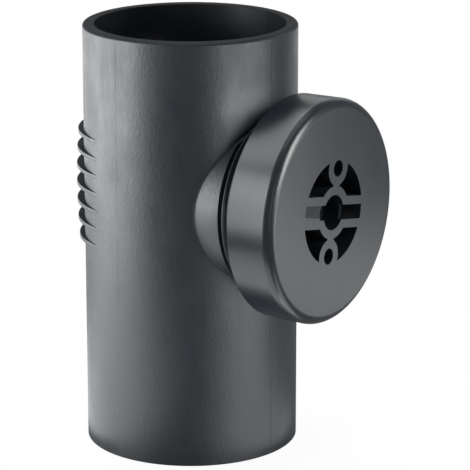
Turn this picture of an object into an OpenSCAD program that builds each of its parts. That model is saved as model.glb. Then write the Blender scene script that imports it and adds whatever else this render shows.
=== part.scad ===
// Cleanout access pipe: a straight soil pipe with a round access neck on its side and a screw cap on the neck.
// The pipe stands on its lower end, its axis is Z, and the neck points along X.

/* [Pipe] */
// Outside diameter of the pipe
pipe_d = 110; // [100:1:125]
// Wall thickness of the pipe
pipe_wall = 6; // [4:0.5:8]
// Height of the pipe from end to end
pipe_h = 220; // [200:1:280]
// Rounding of the upper outer edge
rim_round = 1.5; // [0.5:0.25:2.5]

/* [Access neck] */
// Height of the neck's axis above the lower end
neck_z = 133; // [105:1:145]
// Bore of the neck
neck_bore = 78; // [68:1:80]
// Wall of the neck under its thread
neck_wall = 5.6; // [4.5:0.1:6]
// How far the neck's end stands out beyond the outside of the pipe
neck_reach = 25.7; // [25:0.1:34]
// Length of the neck from its end back to the shoulder at its root
neck_len = 32.5; // [31.5:0.1:34]
// How far the shoulder stands out beyond the thread's root
shoulder_step = 0.3; // [0.1:0.1:2]
// Fillet where the neck grows out of the pipe
root_fillet = 1; // [1:0.25:3]
// Distance from the shoulder's edge to the middle of the bead
bead_offset = 3.6; // [3:0.1:4]
// Depth of the relief groove below the thread's root
relief_depth = 2.6; // [1:0.1:2.8]
// Height of the bead above the thread's root
bead_h = 1.8; // [1:0.1:3]
// Width of the bead's crest
bead_w = 0.9; // [0.5:0.1:1.4]

/* [Thread] */
// Pitch of the screw thread
pitch = 6; // [5:0.25:7]
// Height of the thread ridges
thread_h = 3.8; // [3:0.1:4]
// Width of a ridge at its crest
crest_w = 1.2; // [0.8:0.1:1.4]
// Play between neck and cap thread, measured along the radius
thread_play = 0.4; // [0.3:0.05:0.8]
// Turns of the neck's thread
neck_turns = 3.25; // [2.5:0.25:3.25]
// Turns of the cap's thread
cap_turns = 2; // [1.5:0.25:2]

/* [Screw cap] */
// Length of the cap from the skirt's edge to the face
cap_len = 25.6; // [24:0.1:26]
// Wall of the skirt at its edge, measured from the thread's root
skirt_wall = 8.2; // [5:0.1:9]
// How much wider the skirt is at the face than at its edge, on the radius
skirt_draft = 0.4; // [0:0.1:1.2]
// Rounding between skirt and face
cap_round = 5; // [2:0.25:6]
// Thickness of the cap's end wall
cap_wall = 4; // [3:0.25:5]
// Height of the collar that centres the cap in the neck
collar_len = 6; // [4:0.5:9]
// Wall of that collar
collar_wall = 2.2; // [1.5:0.1:3]
// Play between collar and neck bore
collar_play = 0.6; // [0.3:0.1:1]
// Angle at which the cap comes to rest, from the slot level
cap_angle = -10.8; // [-90:0.1:90]

/* [Driving recess] */
// Diameter of the round recess in the face
recess_d = 52.4; // [49:0.2:55]
// Depth of the pockets
pocket_depth = 11; // [8:0.5:14]
// Thickness of the pockets' floor
floor_wall = 3; // [2:0.25:4]
// Width of the slot
slot_w = 7.5; // [5:0.1:9]
// Depth of the slot beside the centre hole, from where it falls to the pockets' depth at both ends
slot_depth = 2.3; // [1.5:0.1:6]
// Thickness of the walls beside the slot
rib_w = 4.35; // [3:0.05:5]
// Diameter of the centre hole
centre_d = 17.9; // [12:0.1:18.5]
// Wall round the centre hole
centre_wall = 4.55; // [3:0.05:5]
// Diameter of the two pin holes
pin_hole_d = 8.35; // [6:0.05:9]
// Distance of the pin holes from the centre
pin_hole_x = 22.3; // [21:0.1:23]
// Wall round the pin holes
pin_wall = 4.5; // [3:0.05:5]
// Width of the webs that join the rings
web_w = 5.9; // [4:0.1:7]

/* [Sealing ring] */
// Thickness of the sealing ring
seal_t = 2.6; // [2:0.1:4]
// Play between the ring and what it lies against
seal_play = 0.05; // [0.02:0.01:0.1]

/* [Ribs] */
// Number of crescent ribs on the back
rib_count = 7; // [3:2:9]
// How far the middle rib lies above the neck's axis
rib_lift = 3.2; // [-8:0.1:8]
// Distance from rib to rib
rib_pitch = 9.25; // [6:0.05:10]
// Thickness of a rib
rib_t = 2.1; // [1:0.1:3]
// How far the middle rib stands out at the back
rib_reach = 5.7; // [4:0.1:9]
// How much less the end ribs stand out
rib_fall = 1.5; // [0:0.1:3]
// Half angle that the middle rib spans round the pipe
rib_span = 66; // [50:1:75]

/* [Hidden] */
$fn = 120;

// How far a cutting shape runs out past the surface it cuts
over = 1;
pipe_r = pipe_d/2;
bore_r = pipe_r - pipe_wall;

// Radii of the neck and the cap about the neck's axis
neck_bore_r = neck_bore/2;
root_r = neck_bore_r + neck_wall;
shoulder_r = root_r + shoulder_step;
relief_r = root_r - relief_depth;
bead_r = root_r + bead_h;
crest_r = root_r + thread_h;
cap_root_r = crest_r + thread_play;
cap_crest_r = root_r + thread_play;
skirt_r = cap_root_r + skirt_wall;
face_r = skirt_r + skirt_draft;
collar_r = neck_bore_r - collar_play;

// Places along the neck's axis, from the pipe's axis outwards
neck_end = pipe_r + neck_reach;
shoulder_x = neck_end - neck_len;
relief_slope = 0.8;
bead_slope = 1;
bead_x = shoulder_x + bead_offset;
bead_foot = bead_x + bead_w/2 + bead_slope;
end_chamfer = 0.6;
underside_x = neck_end + seal_t + 2*seal_play;
face_x = underside_x + cap_wall;
skirt_x = face_x - cap_len;
mouth_chamfer = 1.5;

// Thread: each ridge has 30 degree flanks on both sides
flank = tan(30);
foot_w = crest_w + 2*thread_h*flank/2;
steps_per_turn = 48;
run_out_angle = 45;
thread_sink = 0.5;
thread_inset = 1.5;
thread_end = neck_end - thread_inset;
neck_thread_x = thread_end - foot_w/2 - neck_turns*pitch;
cap_thread_end = underside_x - seal_t - thread_inset - foot_w/2;
// The cap's ridge lies half a pitch from the neck's, so the phase is worked out from both starts
cap_thread_shift = cap_thread_end - cap_turns*pitch - neck_thread_x;
cap_phase = 360*(cap_thread_shift/pitch - 0.5);

// Recess: walls and floor of the cup that hangs inside the cap
recess_r = recess_d/2;
cup_r = recess_r + floor_wall;
centre_r = centre_d/2;
pin_hole_r = pin_hole_d/2;

// Moves a shape drawn about Z to the neck's axis, its height running outwards along X
module on_neck_axis() {
    translate([0, 0, neck_z]) rotate([0, 90, 0]) children();
}

// A thread ridge wound right-handed round Z. foot is the radius it grows from, tip its crest, start the
// height of its first middle line, and sink how deep its foot lies in the wall that carries it.
module thread_ridge(foot, tip, start, turns, phase, sink) {
    steps = round(turns*steps_per_turn);
    inner = foot + sink;
    function fade(i) = min(1, 360*min(i, steps - i)/steps_per_turn/run_out_angle);
    function tip_at(i) = foot + (tip - foot)*fade(i) + sink*(1 - fade(i))/2;
    function place(i, radius, side) =
        let (turn = 360*i/steps_per_turn)
        [radius*cos(turn + phase), radius*sin(turn + phase), start + pitch*i/steps_per_turn + side];
    points = [for (i = [0:steps]) each [
        place(i, inner, -foot_w/2), place(i, tip_at(i), -crest_w/2),
        place(i, tip_at(i), crest_w/2), place(i, inner, foot_w/2)]];
    outward = tip > foot;
    walls = [for (i = [0:steps - 1], k = [0:3])
        let (a = 4*i + k, b = 4*i + (k + 1)%4)
        each [[a, a + 4, b], [b, a + 4, b + 4]]];
    ends = [[0, 1, 2], [0, 2, 3], [4*steps, 4*steps + 2, 4*steps + 1], [4*steps, 4*steps + 3, 4*steps + 2]];
    faces = concat(walls, ends);
    polyhedron(points, outward ? [for (f = faces) [f[0], f[2], f[1]]] : faces);
}

// Section of the neck: shoulder, relief groove, bead and the plain root of the thread
module neck_section() {
    polygon([
        [0, 0], [shoulder_r, 0], [shoulder_r, shoulder_x],
        [relief_r, shoulder_x + relief_slope], [relief_r, bead_x - bead_w/2 - relief_slope],
        [bead_r, bead_x - bead_w/2], [bead_r, bead_x + bead_w/2], [root_r, bead_foot],
        [root_r, neck_end - end_chamfer], [root_r - end_chamfer, neck_end], [0, neck_end]
    ]);
}

// The fillet round the neck's root. It follows the curve in which the two cylinders meet: at each step it
// is a bow from the pipe's side to the neck's, with its back edge buried in the wall.
module neck_root_fillet() {
    step_count = 96;
    bow_count = 4;
    buried = 0.05;
    back = 1;
    function on_pipe(radius, a) = [radius*sin(a), radius*cos(a), sqrt(pow(pipe_r, 2) - pow(radius*cos(a), 2))];
    function bow_point(a, t) =
        let (corner = on_pipe(shoulder_r, a))
        pow(1 - t, 2)*(on_pipe(shoulder_r + root_fillet, a) - [0, 0, buried])
        + 2*t*(1 - t)*corner
        + pow(t, 2)*([(shoulder_r - buried)*sin(a), (shoulder_r - buried)*cos(a), corner[2] + root_fillet]);
    points = [for (i = [0:step_count - 1]) each
        let (a = 360*i/step_count)
        concat([for (k = [0:bow_count]) bow_point(a, k/bow_count)], [on_pipe(shoulder_r - back, a) - [0, 0, back]])];
    ring_count = bow_count + 2;
    faces = [for (i = [0:step_count - 1], k = [0:ring_count - 1])
        let (a = ring_count*i + k, b = ring_count*i + (k + 1)%ring_count, step = ring_count*((i + 1)%step_count - i))
        each [[a, a + step, b], [b, a + step, b + step]]];
    polyhedron(points, faces);
}

// Section of the pipe's outside, with its rounded upper edge
module pipe_section() {
    polygon([
        [0, 0], [pipe_r, 0], [pipe_r, pipe_h - rim_round],
        [pipe_r - rim_round, pipe_h - rim_round], [pipe_r - rim_round, pipe_h], [0, pipe_h]
    ]);
    translate([pipe_r - rim_round, pipe_h - rim_round]) intersection() {
        circle(rim_round);
        square(rim_round);
    }
}

// One crescent rib: a thin disc set off to the back, so that it runs out into the pipe's side
module crescent(reach) {
    far = pipe_r + reach;
    offset_x = (far*far - pipe_r*pipe_r)/(2*(far - pipe_r*cos(rib_span)));
    translate([-offset_x, 0, 0]) cylinder(r = far - offset_x, h = rib_t, center = true);
}

module ribs() {
    half = (rib_count - 1)/2;
    for (i = [-half:half])
        translate([0, 0, neck_z + rib_lift + i*rib_pitch]) crescent(rib_reach - rib_fall*pow(i/half, 2));
}

// The moulded pipe with its neck, outer thread and ribs
module access_pipe() {
    color([0.23, 0.25, 0.27]) difference() {
        union() {
            rotate_extrude() pipe_section();
            on_neck_axis() rotate_extrude() neck_section();
            on_neck_axis() neck_root_fillet();
            on_neck_axis() thread_ridge(root_r, crest_r, neck_thread_x, neck_turns, 0, -thread_sink);
            ribs();
        }
        translate([0, 0, -over]) cylinder(r = bore_r, h = pipe_h + 2*over);
        on_neck_axis() cylinder(r = neck_bore_r, h = neck_end + over);
    }
}

// What stays standing inside the round recess: ribs beside the slot and the rings round the three holes
module recess_walls() {
    intersection() {
        circle(recess_r + over);
        union() {
            square([slot_w + 2*rib_w, recess_d + 2*over], center = true);
            circle(centre_r + centre_wall);
            for (side = [-1, 1]) {
                translate([side*pin_hole_x, 0]) circle(pin_hole_r + pin_wall);
                translate([side*(centre_r + centre_wall), 0]) square([web_w, web_w], center = true);
            }
        }
    }
}

// The holes and pockets that go down to the recess floor
module deep_pockets() {
    difference() {
        circle(recess_r);
        recess_walls();
    }
    circle(centre_r);
    for (side = [-1, 1]) translate([side*pin_hole_x, 0]) circle(pin_hole_r);
}

// The slot: its floor runs down from the centre hole to both ends
module slot() {
    top = face_x + over;
    crown = face_x - slot_depth;
    deep = face_x - pocket_depth;
    intersection() {
        rotate([90, 0, 90]) translate([0, 0, -slot_w/2]) linear_extrude(slot_w) polygon([
            [-recess_r, top], [-recess_r, deep], [-centre_r, crown],
            [centre_r, crown], [recess_r, deep], [recess_r, top]
        ]);
        cylinder(r = recess_r, h = top + over);
    }
}

// Section of the cap, from the skirt's edge to the face, with the collar and the recess cup inside
module cap_section() {
    difference() {
        union() {
            polygon([
                [0, skirt_x], [skirt_r, skirt_x], [face_r, face_x - cap_round],
                [face_r - cap_round, face_x - cap_round], [face_r - cap_round, face_x], [0, face_x]
            ]);
            translate([face_r - cap_round, face_x - cap_round]) intersection() {
                circle(cap_round);
                square(cap_round);
            }
        }
        polygon([
            [cup_r, skirt_x - over], [cap_root_r + mouth_chamfer, skirt_x - over],
            [cap_root_r + mouth_chamfer, skirt_x],
            [cap_root_r, skirt_x + mouth_chamfer], [cap_root_r, underside_x], [collar_r, underside_x],
            [collar_r, underside_x - collar_len], [collar_r - collar_wall, underside_x - collar_len],
            [collar_r - collar_wall, underside_x], [cup_r, underside_x]
        ]);
        translate([-over, skirt_x - over])
            square([cup_r + 2*over, face_x - pocket_depth - floor_wall - skirt_x + over]);
    }
}

// The screw cap, shown screwed home
module screw_cap() {
    color([0.27, 0.29, 0.31]) translate([0, 0, neck_z]) rotate([cap_angle, 0, 0]) rotate([0, 90, 0])
    difference() {
        union() {
            rotate_extrude() cap_section();
            thread_ridge(cap_root_r, cap_crest_r, cap_thread_end - cap_turns*pitch, cap_turns,
                cap_phase - cap_angle, thread_sink);
        }
        translate([0, 0, face_x - pocket_depth]) linear_extrude(pocket_depth + over) deep_pockets();
        slot();
    }
}

// The rubber ring between the neck's end and the cap
module sealing_ring() {
    seal_in = collar_r + collar_play;
    seal_out = cap_root_r - thread_play;
    color([0.1, 0.1, 0.1]) on_neck_axis() translate([0, 0, neck_end + seal_play]) difference() {
        cylinder(r = seal_out, h = seal_t);
        translate([0, 0, -over]) cylinder(r = seal_in, h = seal_t + 2*over);
    }
}

access_pipe();
screw_cap();
sealing_ring();
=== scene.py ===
# %% [markdown]
# # A cleanout access pipe
# A length of black polyethylene soil pipe has a short round neck on its side. A big screw cap closes the
# neck, so that rods can be put into the drain. The CAD part already has every size. This script dresses
# it: each of its three pieces is modelled again with finer edges, gets its plastic or rubber, and stands
# in a plain studio.

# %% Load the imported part
import contextlib
import math
import bmesh
import bpy
from mathutils import Matrix, Vector


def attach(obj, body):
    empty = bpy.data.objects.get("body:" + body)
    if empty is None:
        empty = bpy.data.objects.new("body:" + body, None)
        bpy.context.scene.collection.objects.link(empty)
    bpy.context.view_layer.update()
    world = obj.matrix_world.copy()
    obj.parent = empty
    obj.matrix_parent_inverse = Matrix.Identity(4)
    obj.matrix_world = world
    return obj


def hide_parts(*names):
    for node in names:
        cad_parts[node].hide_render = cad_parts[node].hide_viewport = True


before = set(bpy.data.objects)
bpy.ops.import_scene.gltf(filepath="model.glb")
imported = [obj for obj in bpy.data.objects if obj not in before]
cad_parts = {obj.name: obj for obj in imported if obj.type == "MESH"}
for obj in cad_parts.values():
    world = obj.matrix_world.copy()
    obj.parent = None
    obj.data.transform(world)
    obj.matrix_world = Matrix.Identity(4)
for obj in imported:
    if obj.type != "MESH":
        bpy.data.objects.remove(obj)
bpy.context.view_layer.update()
mm = 0.001

# %% [markdown]
# The camera comes first, because every later choice is judged through it. A pipe standing upright shows
# how far the camera looks down on it: the rims are ellipses, and their flatness gives the angle. A long
# lens keeps the pipe's sides nearly parallel, as in a catalogue picture. The camera's axes are worked out
# from its two angles, and it is aimed a little beside the pipe, so that the cap is in the picture too.

# %% Camera
camera_turn = math.radians(34.64)
camera_lift = math.radians(15.80)
camera_away = 1.3919
middle_z, aim_right, aim_down = 110 * mm, 22.73 * mm, 2.60 * mm
camera_right = Vector((math.cos(camera_turn), math.sin(camera_turn), 0))
camera_back = Vector((math.sin(camera_turn) * math.cos(camera_lift),
                      -math.cos(camera_turn) * math.cos(camera_lift), math.sin(camera_lift)))
camera_up = camera_back.cross(camera_right)
target = Vector((0, 0, middle_z)) + camera_right * aim_right - camera_up * aim_down
camera = bpy.data.objects.new("camera", bpy.data.cameras.new("camera"))
camera.data.sensor_width = 36
camera.data.lens = 205.1
camera.matrix_world = Matrix.Translation(target + camera_back * camera_away) @ Matrix(
    (camera_right, camera_up, camera_back)).transposed().to_4x4()
bpy.context.scene.collection.objects.link(camera)
bpy.context.scene.camera = camera
print("camera at", [round(v, 3) for v in camera.matrix_world.translation])

# %% [markdown]
# The sizes repeat the CAD part's, in metres, because a finer piece has to lie exactly where the plain one
# does. Lengths called x run along the neck's axis, measured from the pipe's axis.

# %% Sizes of the pipe, the neck and the thread
pipe_r, bore_r, pipe_h, rim_round = 55 * mm, 49 * mm, 220 * mm, 1.5 * mm
neck_z, neck_bore_r, neck_end = 133 * mm, 39 * mm, 80.7 * mm
root_r, shoulder_r, relief_r, bead_r, crest_r = 44.6 * mm, 44.9 * mm, 42.0 * mm, 46.4 * mm, 48.4 * mm
shoulder_x, bead_x, root_fillet = 48.2 * mm, 51.8 * mm, 1 * mm
pitch, crest_w, flank, lead_in = 6 * mm, 1.2 * mm, math.radians(30), 1.5 * mm
foot_w = crest_w + (crest_r - root_r) * math.tan(flank)
neck_turns, cap_turns = 3.25, 2
neck_thread_x = neck_end - lead_in - foot_w / 2 - neck_turns * pitch
print(f"the neck's thread starts {neck_thread_x / mm:.2f} mm out and climbs {pitch / mm:.0f} mm a turn")

# %% [markdown]
# Most of this object is turned: a half section swept round an axis. The spin operator does that, and
# merging its first and last copies closes the shape. A section that starts and ends on the axis gives a
# solid with two poles, and doubles are merged there.

# %% Helpers: turned solids
def turned(section, steps=192):
    """A closed solid made by spinning a half section of (radius, height) points round Z."""
    bm = bmesh.new()
    ring = [bm.verts.new((radius, 0, height)) for radius, height in section]
    for a, b in zip(ring, ring[1:]):
        bm.edges.new((a, b))
    if section[0][0] > 0:
        bm.edges.new((ring[-1], ring[0]))
    bmesh.ops.spin(bm, geom=bm.verts[:] + bm.edges[:], cent=(0, 0, 0), axis=(0, 0, 1),
                   angle=math.tau, steps=steps, use_merge=True)
    bmesh.ops.remove_doubles(bm, verts=bm.verts, dist=1e-7)
    bmesh.ops.recalc_face_normals(bm, faces=bm.faces)
    return bm


def rounded(centre, radius, start, end, steps):
    """Points of an arc in a section, from one angle to the other, in degrees."""
    angles = [math.radians(start + (end - start) * i / steps) for i in range(steps + 1)]
    return [(centre[0] + radius * math.cos(a), centre[1] + radius * math.sin(a)) for a in angles]


def on_neck(bm, turn=0.0):
    """Lays a shape that was made round Z onto the neck's axis, its height running outwards along X."""
    lying = Matrix.Rotation(turn, 4, "X") @ Matrix.Rotation(math.pi / 2, 4, "Y")
    bmesh.ops.transform(bm, matrix=Matrix.Translation((0, 0, neck_z)) @ lying, verts=bm.verts)
    return bm


def to_object(bm, name):
    mesh = bpy.data.meshes.new(name)
    bm.to_mesh(mesh)
    bm.free()
    piece = bpy.data.objects.new(name, mesh)
    bpy.context.scene.collection.objects.link(piece)
    return piece


# %% [markdown]
# Solids are joined and cut with the Boolean modifier, which is what a moulder's tool maker does in steel:
# cores and cavities. Each result is kept as a plain mesh, so that the next step starts clean.

# %% Helpers: joining and cutting
def combine(piece, tool, operation):
    """Joins a tool solid to a piece, or cuts it out of the piece, and removes the tool."""
    step = piece.modifiers.new("step", "BOOLEAN")
    step.operation, step.solver, step.object = operation, "EXACT", tool
    done = bpy.data.meshes.new_from_object(piece.evaluated_get(bpy.context.evaluated_depsgraph_get()))
    piece.modifiers.clear()
    old, piece.data = piece.data, done
    bpy.data.meshes.remove(old)
    tool_mesh = tool.data
    bpy.data.objects.remove(tool)
    bpy.data.meshes.remove(tool_mesh)


@contextlib.contextmanager
def opened(piece):
    """Opens a piece's mesh for bmesh operators and writes it back afterwards."""
    bm = bmesh.new()
    bm.from_mesh(piece.data)
    yield bm
    bm.to_mesh(piece.data)
    bm.free()


def finish_surface(piece, sharp=32):
    """Smooth shading with edges sharper than an angle kept crisp."""
    with opened(piece) as bm:
        bmesh.ops.remove_doubles(bm, verts=bm.verts, dist=1e-7)
        for edge in bm.edges:
            edge.smooth = edge.calc_face_angle(0) < math.radians(sharp)
        for face in bm.faces:
            face.smooth = True
        open_edges = sum(not e.is_manifold for e in bm.edges)
        volume = bm.calc_volume(signed=True) / mm ** 3
    weighted = piece.modifiers.new("even normals", "WEIGHTED_NORMAL")
    weighted.keep_sharp = True
    triangles = sum(len(p.vertices) - 2 for p in piece.data.polygons)
    print(f"{piece.name}: {triangles} triangles, {open_edges} open edges, {volume:.0f} mm3")


# %% [markdown]
# A screw thread is a small section that turns and climbs at once. Spin has an option for this, dvec, the
# climb of each step. The ends are then faded into the wall, as on a moulded thread.

# %% Helper: screw thread
def thread(foot, tip, sink, start, turns, phase, name, per_turn=72, fade_turns=0.125):
    """A ridge of trapezoid section wound round the neck's axis, with its foot sunk into the wall."""
    bm = bmesh.new()
    inner = foot + sink
    section = [(inner, -foot_w / 2), (tip, -crest_w / 2), (tip, crest_w / 2), (inner, foot_w / 2)]
    first = [bm.verts.new((radius, 0, start + height)) for radius, height in section]
    bm.faces.new(first)
    steps = round(turns * per_turn)
    bmesh.ops.rotate(bm, cent=(0, 0, 0), matrix=Matrix.Rotation(phase, 3, "Z"), verts=bm.verts)
    bmesh.ops.spin(bm, geom=bm.verts[:] + bm.edges[:] + bm.faces[:], cent=(0, 0, 0), axis=(0, 0, 1),
                   dvec=(0, 0, pitch / per_turn), angle=math.tau * turns, steps=steps)
    for order, vert in enumerate(bm.verts):
        step = order // 4
        shown = min(1, step / per_turn / fade_turns, (steps - step) / per_turn / fade_turns)
        if order % 4 in (1, 2):
            radius = foot + (tip - foot) * shown + sink * (1 - shown) / 2
            vert.co.xy = vert.co.xy.normalized() * radius
    bmesh.ops.recalc_face_normals(bm, faces=bm.faces)
    return to_object(on_neck(bm), name)


# %% [markdown]
# ## The pipe
# The real pipe is one moulding. Here the tube, the neck, its root fillet, the ribs and the thread are
# solids that are joined, and two bores are cut out of them. The tube's upper edge is rounded and its lower
# edge just broken. The neck starts inside the tube, so that nothing of its start is left to see once the
# bores are cut.

# %% Tube and neck
foot_chamfer = 0.15 * mm
tube = to_object(turned([(0, 0), (pipe_r - foot_chamfer, 0), (pipe_r, foot_chamfer)]
                        + rounded((pipe_r - rim_round, pipe_h - rim_round), rim_round, 0, 90, 6)
                        + [(0, pipe_h)], 256), "access_pipe_skin")
neck_start, neck_tuck, tuck_from, tuck_to = 20 * mm, 1.5 * mm, 45 * mm, 31 * mm
tuck_bend, tuck_steps = 1.6, 7
shoulder_round, relief_from, bead_round, neck_chamfer = 0.3 * mm, 0.8 * mm, 0.45 * mm, 0.6 * mm
bead_rise, bead_fall = 1.25 * mm, 1.45 * mm


def neck_radius(x):
    """The neck is drawn in a little towards its root, where it leaves the tube's two sides."""
    return shoulder_r - neck_tuck * min(1, max(0, (tuck_from - x) / (tuck_from - tuck_to))) ** tuck_bend


tuck_places = [tuck_to + (tuck_from - tuck_to) * i / tuck_steps for i in range(tuck_steps + 1)]
shoulder_corner = (shoulder_r - shoulder_round, shoulder_x - shoulder_round)
neck_section = ([(0, neck_start)] + [(neck_radius(x), x) for x in [neck_start] + tuck_places]
                + rounded(shoulder_corner, shoulder_round, 0, 80, 2)
                + [(relief_r, shoulder_x + relief_from), (relief_r, bead_x - bead_rise)]
                + rounded((bead_r - bead_round, bead_x), bead_round, -80, 80, 4)
                + [(root_r, bead_x + bead_fall), (root_r, neck_end - neck_chamfer),
                   (root_r - neck_chamfer, neck_end), (0, neck_end)])
combine(tube, to_object(on_neck(turned(neck_section)), "neck"), "UNION")
print("tube and neck joined:", len(tube.data.polygons), "faces")

# %% [markdown]
# Where the neck grows out of the tube there is a small fillet. A bevel needs even faces on both sides of
# its edge, and the Boolean leaves uneven ones along the saddle in which the two cylinders meet. So rings
# of points are laid along a bow, from the tube's side to the neck's, and bridged. A last ring lies inside
# the wall and closes the shape to a solid that can be joined. Where the saddle lies depends on the neck's
# radius there, and that on the saddle, so a few rounds of guessing settle both.

# %% Root fillet
bow_rings, sunk, ring_depth, ring_sink = 6, 0.05 * mm, 3 * mm, 1.5 * mm


def saddle_point(radius, angle):
    """The point of the tube's surface that lies at this distance and angle from the neck's axis."""
    across = radius * math.cos(angle)
    return Vector((math.sqrt(pipe_r ** 2 - across ** 2), across, neck_z + radius * math.sin(angle)))


def bow_point(angle, t):
    """A point on the bow from the tube's side, t = 0, to the neck's side, t = 1."""
    radius = shoulder_r
    for _ in range(8):
        radius = neck_radius(saddle_point(radius, angle).x)
    corner = saddle_point(radius, angle)
    low = saddle_point(radius + root_fillet, angle) - Vector((sunk, 0, 0))
    inner = neck_radius(corner.x + root_fillet) - sunk
    high = Vector((corner.x + root_fillet, inner * math.cos(angle), neck_z + inner * math.sin(angle)))
    return (1 - t) ** 2 * low + 2 * t * (1 - t) * corner + t * t * high


bm = bmesh.new()
rings = []
for i in range(bow_rings + 1):
    ring = bmesh.ops.create_circle(bm, cap_ends=False, radius=1, segments=192)["verts"]
    for k, vert in enumerate(ring):
        angle = math.tau * k / len(ring)
        if i < bow_rings:
            vert.co = bow_point(angle, i / (bow_rings - 1))
        else:
            vert.co = saddle_point(shoulder_r - ring_depth, angle) - Vector((ring_sink, 0, 0))
    rings.append(list({edge for vert in ring for edge in vert.link_edges}))
for a, b in zip(rings, rings[1:] + rings[:1]):
    bmesh.ops.bridge_loops(bm, edges=a + b)
bmesh.ops.recalc_face_normals(bm, faces=bm.faces)
combine(tube, to_object(bm, "root_fillet"), "UNION")
print("root fillet joined:", len(tube.data.polygons), "faces")

# %% [markdown]
# Seven crescent ribs stand on the back. Each is a thin disc that is set off towards the back, so that its
# edge comes out of the tube, stands out furthest at the back and runs in again on the other side. The
# middle rib is the widest.

# %% Crescent ribs
rib_pitch, rib_t, rib_reach, rib_fall, rib_span = 9.25 * mm, 2.1 * mm, 5.7 * mm, 1.5 * mm, math.radians(66)
rib_lift, rib_round, ribs_each_way = 3.2 * mm, 0.35 * mm, 3
for i in range(-ribs_each_way, ribs_each_way + 1):
    far = pipe_r + rib_reach - rib_fall * (i / ribs_each_way) ** 2
    off = (far ** 2 - pipe_r ** 2) / (2 * (far - pipe_r * math.cos(rib_span)))
    rim = far - off - rib_round
    bm = turned([(0, -rib_t / 2)] + rounded((rim, rib_round - rib_t / 2), rib_round, -90, 0, 2)
                + rounded((rim, rib_t / 2 - rib_round), rib_round, 0, 90, 2) + [(0, rib_t / 2)], 256)
    bmesh.ops.translate(bm, vec=(-off, 0, neck_z + rib_lift + i * rib_pitch), verts=bm.verts)
    combine(tube, to_object(bm, "rib"), "UNION")
    print(f"rib {i} reaches {(far - pipe_r) / mm:.1f} mm out of the tube")

# %% [markdown]
# The two bores are cut through everything that stands inside by now. Each cutting tool widens at its open
# ends, which breaks the bore's edges. The thread is joined after them, so that no cut can touch its thin
# ends.

# %% Bores and thread
broken, beyond, thread_sink = 0.3 * mm, 1 * mm, 0.5 * mm
flare = broken + beyond
bore = turned([(0, -beyond), (bore_r + flare, -beyond), (bore_r, broken), (bore_r, pipe_h - broken),
               (bore_r + flare, pipe_h + beyond), (0, pipe_h + beyond)], 256)
neck_bore = turned([(0, 0), (neck_bore_r, 0), (neck_bore_r, neck_end - broken),
                    (neck_bore_r + flare, neck_end + beyond), (0, neck_end + beyond)])
combine(tube, to_object(bore, "bore"), "DIFFERENCE")
combine(tube, to_object(on_neck(neck_bore), "neck bore"), "DIFFERENCE")
neck_ridge = thread(root_r, crest_r, -thread_sink, neck_thread_x, neck_turns, 0, "neck thread")
combine(tube, neck_ridge, "UNION")
finish_surface(tube)

# %% [markdown]
# ## The screw cap
# The cap is also turned: a slightly flared skirt, a rounded corner, a flat face, a thread inside and a
# collar that centres it in the neck. The cup behind the face holds the driving recess.

# %% Cap body
seal_t, seal_play, cap_t, cap_l = 2.6 * mm, 0.05 * mm, 4 * mm, 25.6 * mm
underside_x = neck_end + seal_t + 2 * seal_play
face_x = underside_x + cap_t
skirt_x = face_x - cap_l
thread_play, skirt_wall, face_wall = 0.4 * mm, 8.2 * mm, 8.6 * mm
cap_root_r, cap_crest_r = crest_r + thread_play, root_r + thread_play
skirt_r, face_r, cap_round, skirt_round = cap_root_r + skirt_wall, cap_root_r + face_wall, 5 * mm, 0.5 * mm
collar_play, collar_wall, collar_l, collar_chamfer = 0.6 * mm, 2.2 * mm, 6 * mm, 0.4 * mm
collar_r, collar_x = neck_bore_r - collar_play, underside_x - collar_l
pocket_depth, slot_depth, recess_r = 11 * mm, 2.3 * mm, 26.2 * mm
cup_r, cup_round, cup_floor = 29.2 * mm, 1 * mm, 3 * mm
cup_x = face_x - pocket_depth - cup_floor
cap_angle = math.radians(-10.8)
cap_section = ([(0, face_x)] + rounded((face_r - cap_round, face_x - cap_round), cap_round, 90, 2, 10)
               + rounded((skirt_r - skirt_round, skirt_x + skirt_round), skirt_round, 0, -90, 4)
               + [(cap_root_r + lead_in, skirt_x), (cap_root_r, skirt_x + lead_in), (cap_root_r, underside_x),
                  (collar_r, underside_x), (collar_r, collar_x + collar_chamfer),
                  (collar_r - collar_chamfer, collar_x), (collar_r - collar_wall, collar_x),
                  (collar_r - collar_wall, underside_x), (cup_r, underside_x)]
               + rounded((cup_r - cup_round, cup_x + cup_round), cup_round, 0, -90, 4) + [(0, cup_x)])
cap = to_object(on_neck(turned(cap_section, 256), turn=cap_angle), "screw_cap_skin")
print(f"the cap reaches from {skirt_x / mm:.1f} to {face_x / mm:.1f} mm along the neck's axis")

# %% [markdown]
# The driving recess is sunk into the face. Its plan is a round pocket in which some walls are left
# standing: two bars beside the slot, a ring round the centre hole, two rings round the pin holes and a web
# to each. The tool that cuts it is made the same way round: a disc from which the walls are taken away.
# The upright corners of the walls are rounded, because a mould has no knife edges.

# %% Tool for the pockets
def plate(low, high, bottom, top):
    """A box in the face's plan, from one corner to the other."""
    bm = bmesh.new()
    bmesh.ops.create_cube(bm, size=1)
    size = Vector((high[0] - low[0], high[1] - low[1], top - bottom))
    middle = Vector(((high[0] + low[0]) / 2, (high[1] + low[1]) / 2, (top + bottom) / 2))
    bmesh.ops.scale(bm, vec=size, verts=bm.verts)
    bmesh.ops.translate(bm, vec=middle, verts=bm.verts)
    return to_object(bm, "plate")


def disc(radius, bottom, top, x=0.0, steps=96):
    bm = turned([(0, bottom), (radius, bottom), (radius, top), (0, top)], steps)
    bmesh.ops.translate(bm, vec=(x, 0, 0), verts=bm.verts)
    return to_object(bm, "disc")


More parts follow.
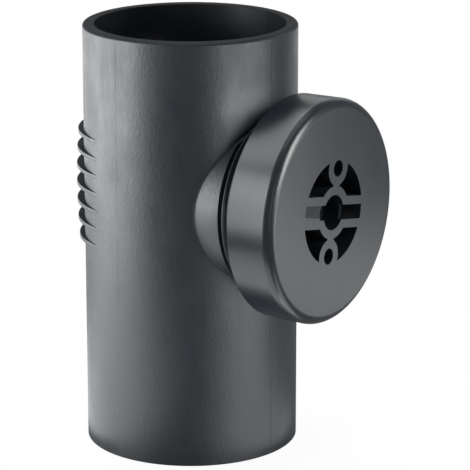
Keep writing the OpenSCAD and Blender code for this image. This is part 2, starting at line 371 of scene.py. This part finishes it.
slot_w, bar_w, centre_r, centre_wall = 7.5 * mm, 4.35 * mm, 8.95 * mm, 4.55 * mm
pin_r, pin_x, pin_wall, web_w, wall_round = 4.175 * mm, 22.3 * mm, 4.5 * mm, 5.9 * mm, 0.6 * mm
deep, over = face_x - pocket_depth, face_x + 2 * beyond
below, above = deep - beyond, over + beyond
bars, half_web = slot_w / 2 + bar_w, web_w / 2
pockets = disc(recess_r, deep, over, steps=192)
combine(pockets, plate((-bars, -recess_r - beyond), (bars, recess_r + beyond), below, above), "DIFFERENCE")
combine(pockets, disc(centre_r + centre_wall, below, above, steps=128), "DIFFERENCE")
for side in (-1, 1):
    combine(pockets, disc(pin_r + pin_wall, below, above, side * pin_x), "DIFFERENCE")
    web_x = side * (centre_r + centre_wall)
    web = plate((web_x - half_web, -half_web), (web_x + half_web, half_web), below, above)
    combine(pockets, web, "DIFFERENCE")
with opened(pockets) as bm:
    bmesh.ops.remove_doubles(bm, verts=bm.verts, dist=1e-6)
    upright = [e for e in bm.edges if (e.verts[0].co.xy - e.verts[1].co.xy).length < 1e-6
               and e.calc_face_angle(0) > math.radians(40)]
    bmesh.ops.bevel(bm, geom=upright, offset=wall_round, offset_type="OFFSET", affect="EDGES", segments=3,
                    profile=0.5, material=-1, clamp_overlap=True)
print("rounded", len(upright), "upright corners")

# %% [markdown]
# The slot's floor is a low roof: it is highest beside the centre hole and falls to the pockets' depth at
# both ends. A plate cut into three along its length has the right corners, of which the outer ones are
# lowered.

# %% Slot and holes
slot_play = 0.1 * mm
slot_r = recess_r - slot_play
slot = plate((-slot_w / 2, -slot_r), (slot_w / 2, slot_r), face_x - slot_depth, over)
with opened(slot) as bm:
    along = [e for e in bm.edges if abs(e.verts[0].co.y - e.verts[1].co.y) > slot_r]
    bmesh.ops.subdivide_edges(bm, edges=along, cuts=2)
    for vert in bm.verts:
        if abs(vert.co.y) > 0.9 * slot_r and vert.co.z < face_x:
            vert.co.z = deep + slot_play
combine(slot, disc(slot_r, below, above, steps=192), "INTERSECT")
combine(pockets, slot, "UNION")
combine(pockets, disc(centre_r, deep, over), "UNION")
for side in (-1, 1):
    combine(pockets, disc(pin_r, deep, over, side * pin_x, steps=64), "UNION")
with opened(pockets) as bm:
    on_neck(bm, turn=cap_angle)
combine(cap, pockets, "DIFFERENCE")
print("recess cut:", len(cap.data.polygons), "faces")

# %% [markdown]
# All edges of the recess at the face get a small bevel, which draws the fine light lines round the walls.
# The edges are found by their place: they lie in the face and turn a right angle. The thread comes last,
# so that the bevel leaves it alone. It is turned by the phase that puts its ridge half a pitch from the
# neck's.

# %% Broken edges and cap thread
edge_break = 0.35 * mm
with opened(cap) as bm:
    bmesh.ops.remove_doubles(bm, verts=bm.verts, dist=1e-6)
    at_face = [e for e in bm.edges if all(abs(v.co.x - face_x) < 1e-6 for v in e.verts)
               and e.calc_face_angle(0) > math.radians(60)]
    bmesh.ops.bevel(bm, geom=at_face, offset=edge_break, offset_type="OFFSET", affect="EDGES", segments=2,
                    profile=0.5, material=-1, clamp_overlap=True)
print("bevelled", len(at_face), "edges round the recess")
cap_thread_x = underside_x - seal_t - lead_in - foot_w / 2 - cap_turns * pitch
cap_phase = math.tau * ((cap_thread_x - neck_thread_x) / pitch - 0.5)
cap_ridge = thread(cap_root_r, cap_crest_r, thread_sink, cap_thread_x, cap_turns, cap_phase, "cap thread")
combine(cap, cap_ridge, "UNION")
finish_surface(cap)

# %% [markdown]
# ## The sealing ring
# A flat rubber ring lies on the neck's end. It shows only when the cap is off. Moulded rubber has soft
# edges.

# %% Ring
ring_play_in, ring_play_out, ring_round = 0.6 * mm, 0.4 * mm, 0.4 * mm
ring_in, ring_out = collar_r + ring_play_in + ring_round, cap_root_r - ring_play_out - ring_round
low, high = neck_end + seal_play + ring_round, neck_end + seal_play + seal_t - ring_round
ring_section = []
corners = ((ring_out, low), (ring_out, high), (ring_in, high), (ring_in, low))
for corner, start in zip(corners, (-90, 0, 90, 180)):
    ring_section += rounded(corner, ring_round, start, start + 90, 4)
ring = to_object(on_neck(turned(ring_section)), "sealing_ring_skin")
finish_surface(ring)

# %% [markdown]
# ## Riding and replacing
# Each fine piece rides on the body that carries its plain twin, and the twin is hidden.

# %% Bodies
for piece, body, node, slot_name in ((tube, "pipe", "access_pipe", "pipe_polyethylene"),
                                     (cap, "cap", "screw_cap", "cap_polyethylene"),
                                     (ring, "seal", "sealing_ring", "ring_rubber")):
    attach(piece, body)
    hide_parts(node)
    print(f"{piece.name} rides on the {body} and replaces {node}")

# %% [markdown]
# ## Plastic
# Black polyethylene isn't even: its skin has a fine grain from the mould, cloudy patches where it flowed,
# and faint streaks along its length. Two groups make these once for every material. The first gives cloudy
# patches, fine specks and streaks: the streaks are a noise that is squeezed flat along Z, so that it
# hardly changes there.

# %% Shared effect: mottled skin
def group(name, inputs, outputs):
    """An empty node group. Its inputs are vectors, its outputs values that change over the surface."""
    tree = bpy.data.node_groups.new(name, "ShaderNodeTree")
    for label in inputs:
        tree.interface.new_socket(label, in_out="INPUT", socket_type="NodeSocketVector")
    for label in outputs:
        tree.interface.new_socket(label, in_out="OUTPUT", socket_type="NodeSocketFloat")
    return tree, tree.nodes.new("NodeGroupInput"), tree.nodes.new("NodeGroupOutput")


def worked_out(tree, kind, operation, values, result):
    """A node that does one operation on its first inputs, each a plain value or another node's output."""
    node = tree.nodes.new(kind)
    node.operation = operation
    for socket, value in zip(node.inputs, values):
        if isinstance(value, bpy.types.NodeSocket):
            tree.links.new(value, socket)
        else:
            socket.default_value = value
    return node.outputs[result]


def number(tree, operation, *values):
    return worked_out(tree, "ShaderNodeMath", operation, values, "Value")


def vector(tree, operation, *values, result="Vector"):
    return worked_out(tree, "ShaderNodeVectorMath", operation, values, result)


mottle, given, wanted = group("mottled skin", ["Place"], ["Clouds", "Specks", "Streaks"])
for label, flat, scale, detail, rough in (("Clouds", 0.55, 38, 8, 0.74), ("Specks", 0.7, 650, 3, 0.5),
                                          ("Streaks", 0.12, 520, 4, 0.65)):
    noise = mottle.nodes.new("ShaderNodeTexNoise")
    noise.inputs["Scale"].default_value = scale
    noise.inputs["Detail"].default_value = detail
    noise.inputs["Roughness"].default_value = rough
    squeezed = vector(mottle, "MULTIPLY", given.outputs["Place"], (1, 1, flat))
    mottle.links.new(squeezed, noise.inputs["Vector"])
    mottle.links.new(noise.outputs["Fac"], wanted.inputs[label])
print(mottle.name, "gives", [item.name for item in mottle.interface.items_tree if item.in_out == "OUTPUT"])

# %% [markdown]
# A mould has several parts, and a fine groove stays where two of them met. It is a mask: 1 on a narrow
# strip where the distance from a plane is small, 0 elsewhere. The planes stand upright through the pipe's
# axis, so each is given by its angle, and the groove is kept to the outside of the pipe.

# %% Shared effect: mould line
half_width, outside = 0.35 * mm, pipe_r - 0.4 * mm
seam, given, wanted = group("mould line", ["Place", "Across"], ["Line"])
aside = vector(seam, "DOT_PRODUCT", given.outputs["Place"], given.outputs["Across"], result="Value")
near = number(seam, "SUBTRACT", 1.0, number(seam, "DIVIDE", number(seam, "ABSOLUTE", aside), half_width))
level = vector(seam, "MULTIPLY", given.outputs["Place"], (1, 1, 0))
from_axis = vector(seam, "LENGTH", level, result="Value")
on_skin = number(seam, "GREATER_THAN", from_axis, outside)
seam.links.new(number(seam, "MULTIPLY", number(seam, "MAXIMUM", near, 0.0), on_skin), wanted.inputs["Line"])
print(f"mould lines are {2 * half_width / mm:.1f} mm wide")

# %% [markdown]
# One function makes every plastic, because they differ only in numbers. The clouds move the colour and,
# more strongly, the roughness: that is what shows on a dark surface. The specks and the mould lines are
# heights for a bump. A mould line is also rougher, so that it stays dark where the plastic around it
# shines. The colours are nearly black, because what looks grey on such plastic is the room in its gloss.

# %% Plastics and rubber
seam_rough, seam_depth, skin_height = 0.45, 1.2, 0.2 * mm


def plastic(name, dark, light, rough_low, rough_high, grain, streaks=0.0, seams=()):
    """A satin plastic with clouds, grain, streaks and mould lines, each given by angle and strength."""
    material = bpy.data.materials.new(name)
    material.use_nodes = True
    tree = material.node_tree
    shader = tree.nodes["Principled BSDF"]
    place = tree.nodes.new("ShaderNodeTexCoord").outputs["Object"]
    skin = tree.nodes.new("ShaderNodeGroup")
    skin.node_tree = mottle
    tree.links.new(place, skin.inputs["Place"])
    colour = tree.nodes.new("ShaderNodeMix")
    colour.data_type = "RGBA"
    colour.inputs["A"].default_value = (*dark, 1)
    colour.inputs["B"].default_value = (*light, 1)
    tree.links.new(skin.outputs["Clouds"], colour.inputs["Factor"])
    tree.links.new(colour.outputs["Result"], shader.inputs["Base Color"])
    streaky = number(tree, "MULTIPLY", number(tree, "SUBTRACT", skin.outputs["Streaks"], 0.5), streaks)
    cloudy = tree.nodes.new("ShaderNodeMapRange")
    limits = {"From Min": 0.35, "From Max": 0.65, "To Min": rough_low, "To Max": rough_high}
    for label, value in limits.items():
        cloudy.inputs[label].default_value = value
    tree.links.new(number(tree, "ADD", skin.outputs["Clouds"], streaky), cloudy.inputs["Value"])
    rough = cloudy.outputs["Result"]
    height = number(tree, "MULTIPLY", skin.outputs["Specks"], grain)
    for angle, strength in seams:
        turn = math.radians(angle)
        line = tree.nodes.new("ShaderNodeGroup")
        line.node_tree = seam
        line.inputs["Across"].default_value = (-math.sin(turn), math.cos(turn), 0)
        tree.links.new(place, line.inputs["Place"])
        dulled = number(tree, "MULTIPLY", line.outputs["Line"], seam_rough * strength)
        sunk_in = number(tree, "MULTIPLY", line.outputs["Line"], seam_depth * strength)
        rough = number(tree, "ADD", rough, dulled)
        height = number(tree, "SUBTRACT", height, sunk_in)
    tree.links.new(rough, shader.inputs["Roughness"])
    bump = tree.nodes.new("ShaderNodeBump")
    bump.inputs["Distance"].default_value = skin_height
    bump.inputs["Strength"].default_value = 0.5
    tree.links.new(height, bump.inputs["Height"])
    tree.links.new(bump.outputs["Normal"], shader.inputs["Normal"])
    return material


black, pipe_grey, cap_grey = (0.006, 0.009, 0.012), (0.011, 0.015, 0.020), (0.009, 0.012, 0.016)
soot, worn_soot = (0.016, 0.016, 0.017), (0.024, 0.024, 0.025)
mould_lines = ((-7, 1.0), (83, 0.3))
pipe_plastic = plastic("pipe polyethylene", black, pipe_grey, 0.40, 0.54, 0.95, 0.2, mould_lines)
cap_plastic = plastic("cap polyethylene", black, cap_grey, 0.27, 0.30, 0.03)
rubber = plastic("ring rubber", soot, worn_soot, 0.62, 0.75, 0.4)
for piece, material in ((tube, pipe_plastic), (cap, cap_plastic), (ring, rubber)):
    piece.data.materials.clear()
    piece.data.materials.append(material)
    print(piece.name, "is made of", material.name)

# %% [markdown]
# ## Studio
# A dark satin tube shows its lamps more than its own colour: each upright strip of it mirrors one side of
# the room. Low soft panels on the left and on the right draw the two pale bands, and the dark room in
# front draws the dark band between them. A lamp's power is worked out from how bright its face is and how
# large it is.

# %% Lamps
def soft_lamp(name, angle, away, height, tilt, width, length, bright):
    """A soft panel at an angle from +X. Tilt 0 lies flat and shines up, 90 stands and shines inwards."""
    around, lean = math.radians(angle), math.radians(tilt)
    outwards = Vector((math.cos(around), math.sin(around), 0))
    sideways = Vector((-math.sin(around), math.cos(around), 0))
    upwards = outwards * math.cos(lean) + Vector((0, 0, math.sin(lean)))
    lamp = bpy.data.lights.new(name, "AREA")
    lamp.shape, lamp.size, lamp.size_y = "RECTANGLE", width, length
    lamp.energy = bright * math.pi * width * length
    holder = bpy.data.objects.new(name, lamp)
    holder.matrix_world = Matrix.Translation(outwards * away + Vector((0, 0, height))) @ Matrix(
        (sideways, upwards, sideways.cross(upwards))).transposed().to_4x4()
    holder.visible_camera = False
    bpy.context.scene.collection.objects.link(holder)
    print(f"{name}: {lamp.energy:.1f} W")
    return holder


soft_lamp("ceiling", 0, 0.0, 1.3, 180, 1.0, 1.0, 1.1)

# %% [markdown]
# The big cap would throw its shadow on the pipe and take the bands away beside the neck. A photographer
# could light the two in two exposures. Light linking does that here: each lamp gets a collection of the
# pieces that it reaches and another of those that throw its shadows. The panels lying on the floor light
# what mirrors the floor. A row holds a panel's name, angle, distance, height, tilt, width, length and
# brightness.

# %% Panels for the pipe and for the cap
def light_only(pieces, shadows, panels):
    """Makes panels that reach some pieces only, with shadows from some pieces only."""
    reached, shading = (bpy.data.collections.new(pieces[0].name + end) for end in (" lit", " shading"))
    for piece in pieces:
        reached.objects.link(piece)
    for piece in shadows:
        shading.objects.link(piece)
    for panel in panels:
        holder = soft_lamp(*panel)
        holder.light_linking.receiver_collection = reached
        holder.light_linking.blocker_collection = shading


light_only([tube], [tube], (
    ("pipe left panel", 215, 0.5, 0.075, 90, 0.70, 0.15, 10.5),
    ("pipe left high panel", 225, 0.5, 0.30, 90, 0.52, 0.30, 1.54),
    ("pipe left floor panel", 225, 0.25, 0.002, 0, 0.34, 0.38, 2.3),
    ("pipe left rim panel", 160, 0.5, 0.075, 90, 0.26, 0.15, 2.6),
    ("pipe right panel", 0, 0.5, 0.075, 90, 0.44, 0.15, 12.7),
    ("pipe right floor panel", 0, 0.15, 0.002, 0, 0.12, 0.18, 1.4),
    ("pipe right rim panel", 90, 0.5, 0.075, 90, 0.36, 0.15, 1.01),
    ("pipe back panel", 60, 1.0, 0.62, 90, 0.70, 0.55, 1.1),
    ("pipe neck panel", 236, 0.5, 0.23, 90, 0.18, 0.20, 15)))
light_only([cap, ring], [cap, ring, tube], (
    ("cap left panel", 225, 0.5, 0.25, 90, 0.70, 0.50, 3.1),
    ("cap left high panel", 225, 1.0, 0.62, 90, 1.05, 0.55, 1.98),
    ("cap side panel", 257, 0.5, 0.25, 90, 0.16, 0.50, 4.4),
    ("cap top panel", 180, 0.5, 0.73, 140, 1.00, 0.50, 4.2),
    ("cap right panel", 12, 0.5, 0.32, 90, 0.20, 0.35, 14),
    ("cap corner panel", -32, 0.5, 0.22, 90, 0.05, 0.30, 1.8),
    ("cap low panel", 30, 0.5, 0.075, 90, 0.18, 0.15, 5.1),
    ("cap floor panel", 40, 0.37, 0.002, 0, 0.26, 0.26, 1.5),
    ("cap foot panel", -75, 0.13, 0.002, 0, 0.24, 0.14, 2),
    ("cap right foot panel", -10, 0.17, 0.002, 0, 0.06, 0.14, 2.3),
    ("cap back panel", 108, 1.0, 0.62, 90, 0.70, 0.55, 0.66)))

# %% [markdown]
# The floor looks like white paper. Its own colour is a grey, so that little light comes up from it, and a
# light of its own, which only the camera and the gloss of the plastic see, brings it to white where no
# shadow falls. So the object isn't lit more. The world works the same way, with a little light of its own
# for all rays.

# %% Floor and world
def seen_light(tree, camera, glossy):
    """The strength of a light that only the camera and glossy reflections see."""
    path = tree.nodes.new("ShaderNodeLightPath")
    in_gloss = number(tree, "MULTIPLY", path.outputs["Is Glossy Ray"], glossy)
    return number(tree, "ADD", number(tree, "MULTIPLY", path.outputs["Is Camera Ray"], camera), in_gloss)


bm = bmesh.new()
bmesh.ops.create_grid(bm, x_segments=1, y_segments=1, size=6)
floor = to_object(bm, "floor")
paper = bpy.data.materials.new("white paper")
paper.use_nodes = True
tree = paper.node_tree
paper_shader = tree.nodes["Principled BSDF"]
paper_shader.inputs["Base Color"].default_value = (0.25, 0.25, 0.25, 1)
paper_shader.inputs["Roughness"].default_value = 0.9
paper_shader.inputs["Emission Color"].default_value = (1, 1, 1, 1)
paper_seen, paper_in_gloss = 0.93, 0.2
tree.links.new(seen_light(tree, paper_seen, paper_in_gloss), paper_shader.inputs["Emission Strength"])
floor.data.materials.append(paper)
world = bpy.data.worlds.new("studio")
bpy.context.scene.world = world
world.use_nodes = True
tree = world.node_tree
background = tree.nodes["Background"]
background.inputs["Color"].default_value = (1, 1, 1, 1)
room_light, room_in_gloss = 0.15, 0.10
strength = number(tree, "ADD", seen_light(tree, 1 - room_light, room_in_gloss), room_light)
tree.links.new(strength, background.inputs["Strength"])
bpy.context.scene.view_settings.view_transform = "Standard"
print("the room's own light is", room_light)
